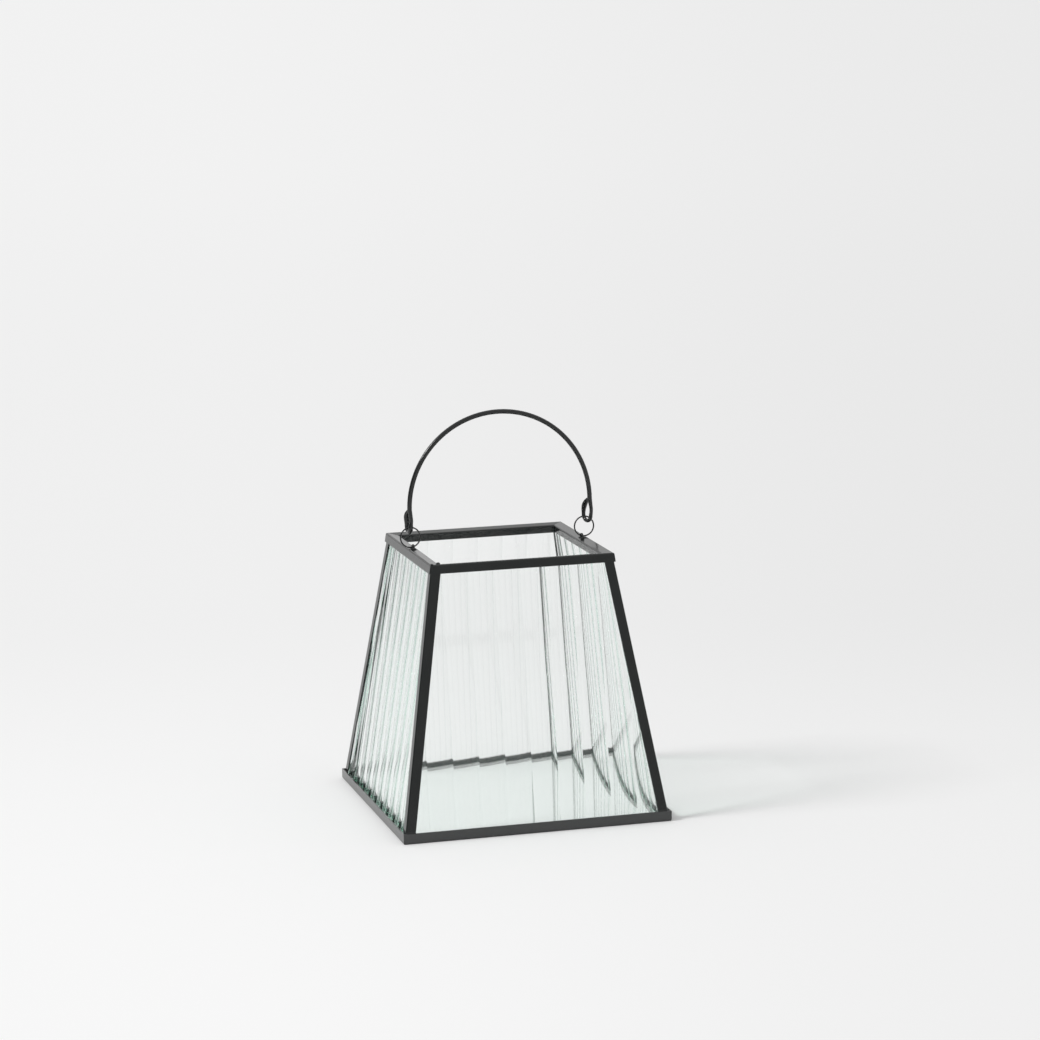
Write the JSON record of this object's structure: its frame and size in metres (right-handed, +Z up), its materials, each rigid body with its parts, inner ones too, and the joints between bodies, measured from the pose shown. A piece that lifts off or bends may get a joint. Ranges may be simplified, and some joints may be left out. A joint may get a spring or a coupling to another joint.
{
  "type": "candle lantern",
  "caption": "Open-topped pyramid candle lantern with fluted glass panes in a black folded iron frame, and a half-round wire bail hung in wire rings",
  "frame": {"origin": "middle of the base, on the surface the lantern rests on", "axes": "+Z up, +X to the right along the front, -Y towards the front; the bail's ends are over the left and right top rails"},
  "size_m": [0.19, 0.19, 0.2795],
  "materials": {
    "black_iron": "satin black paint over folded iron sheet",
    "black_wire": "satin black paint over drawn wire",
    "fluted_glass": "clear pressed glass with wide hollow flutes, faint green",
    "base_glass": "clear flat glass, faint green"
  },
  "bodies": {
    "lantern_frame": {"base_rail_front": "black_iron", "base_rail_right": "black_iron", "base_rail_back": "black_iron", "base_rail_left": "black_iron", "top_rail_front": "black_iron", "top_rail_right": "black_iron", "top_rail_back": "black_iron", "top_rail_left": "black_iron", "corner_post_front_left": "black_iron", "corner_post_front_right": "black_iron", "corner_post_back_right": "black_iron", "corner_post_back_left": "black_iron", "glass_pane_front": "fluted_glass", "glass_pane_right": "fluted_glass", "glass_pane_back": "fluted_glass", "glass_pane_left": "fluted_glass", "base_glass": "base_glass", "eyelet_left": "black_iron", "eyelet_right": "black_iron"},
    "left_ring": {"ring_left": "black_wire"},
    "right_ring": {"ring_right": "black_wire"},
    "bail": {"bail_handle": "black_wire"}
  },
  "joints": [
    {"name": "left_ring_swing", "type": "hinge", "parent": "lantern_frame", "child": "left_ring", "pos_m": [-0.06105, 0, 0.18584], "axis": [1, 0, 0], "range_deg": [-45, 45]},
    {"name": "right_ring_swing", "type": "hinge", "parent": "lantern_frame", "child": "right_ring", "pos_m": [0.06105, 0, 0.18584], "axis": [1, 0, 0], "range_deg": [-45, 45]},
    {"name": "bail_swing", "type": "hinge", "parent": "left_ring", "child": "bail", "pos_m": [-0.06468, 0, 0.19936], "axis": [1, 0, 0], "range_deg": [-56, 49]}
  ],
  "couplings": [
    {"joint": "right_ring_swing", "follows": "left_ring_swing", "ratio": 1}
  ]
}
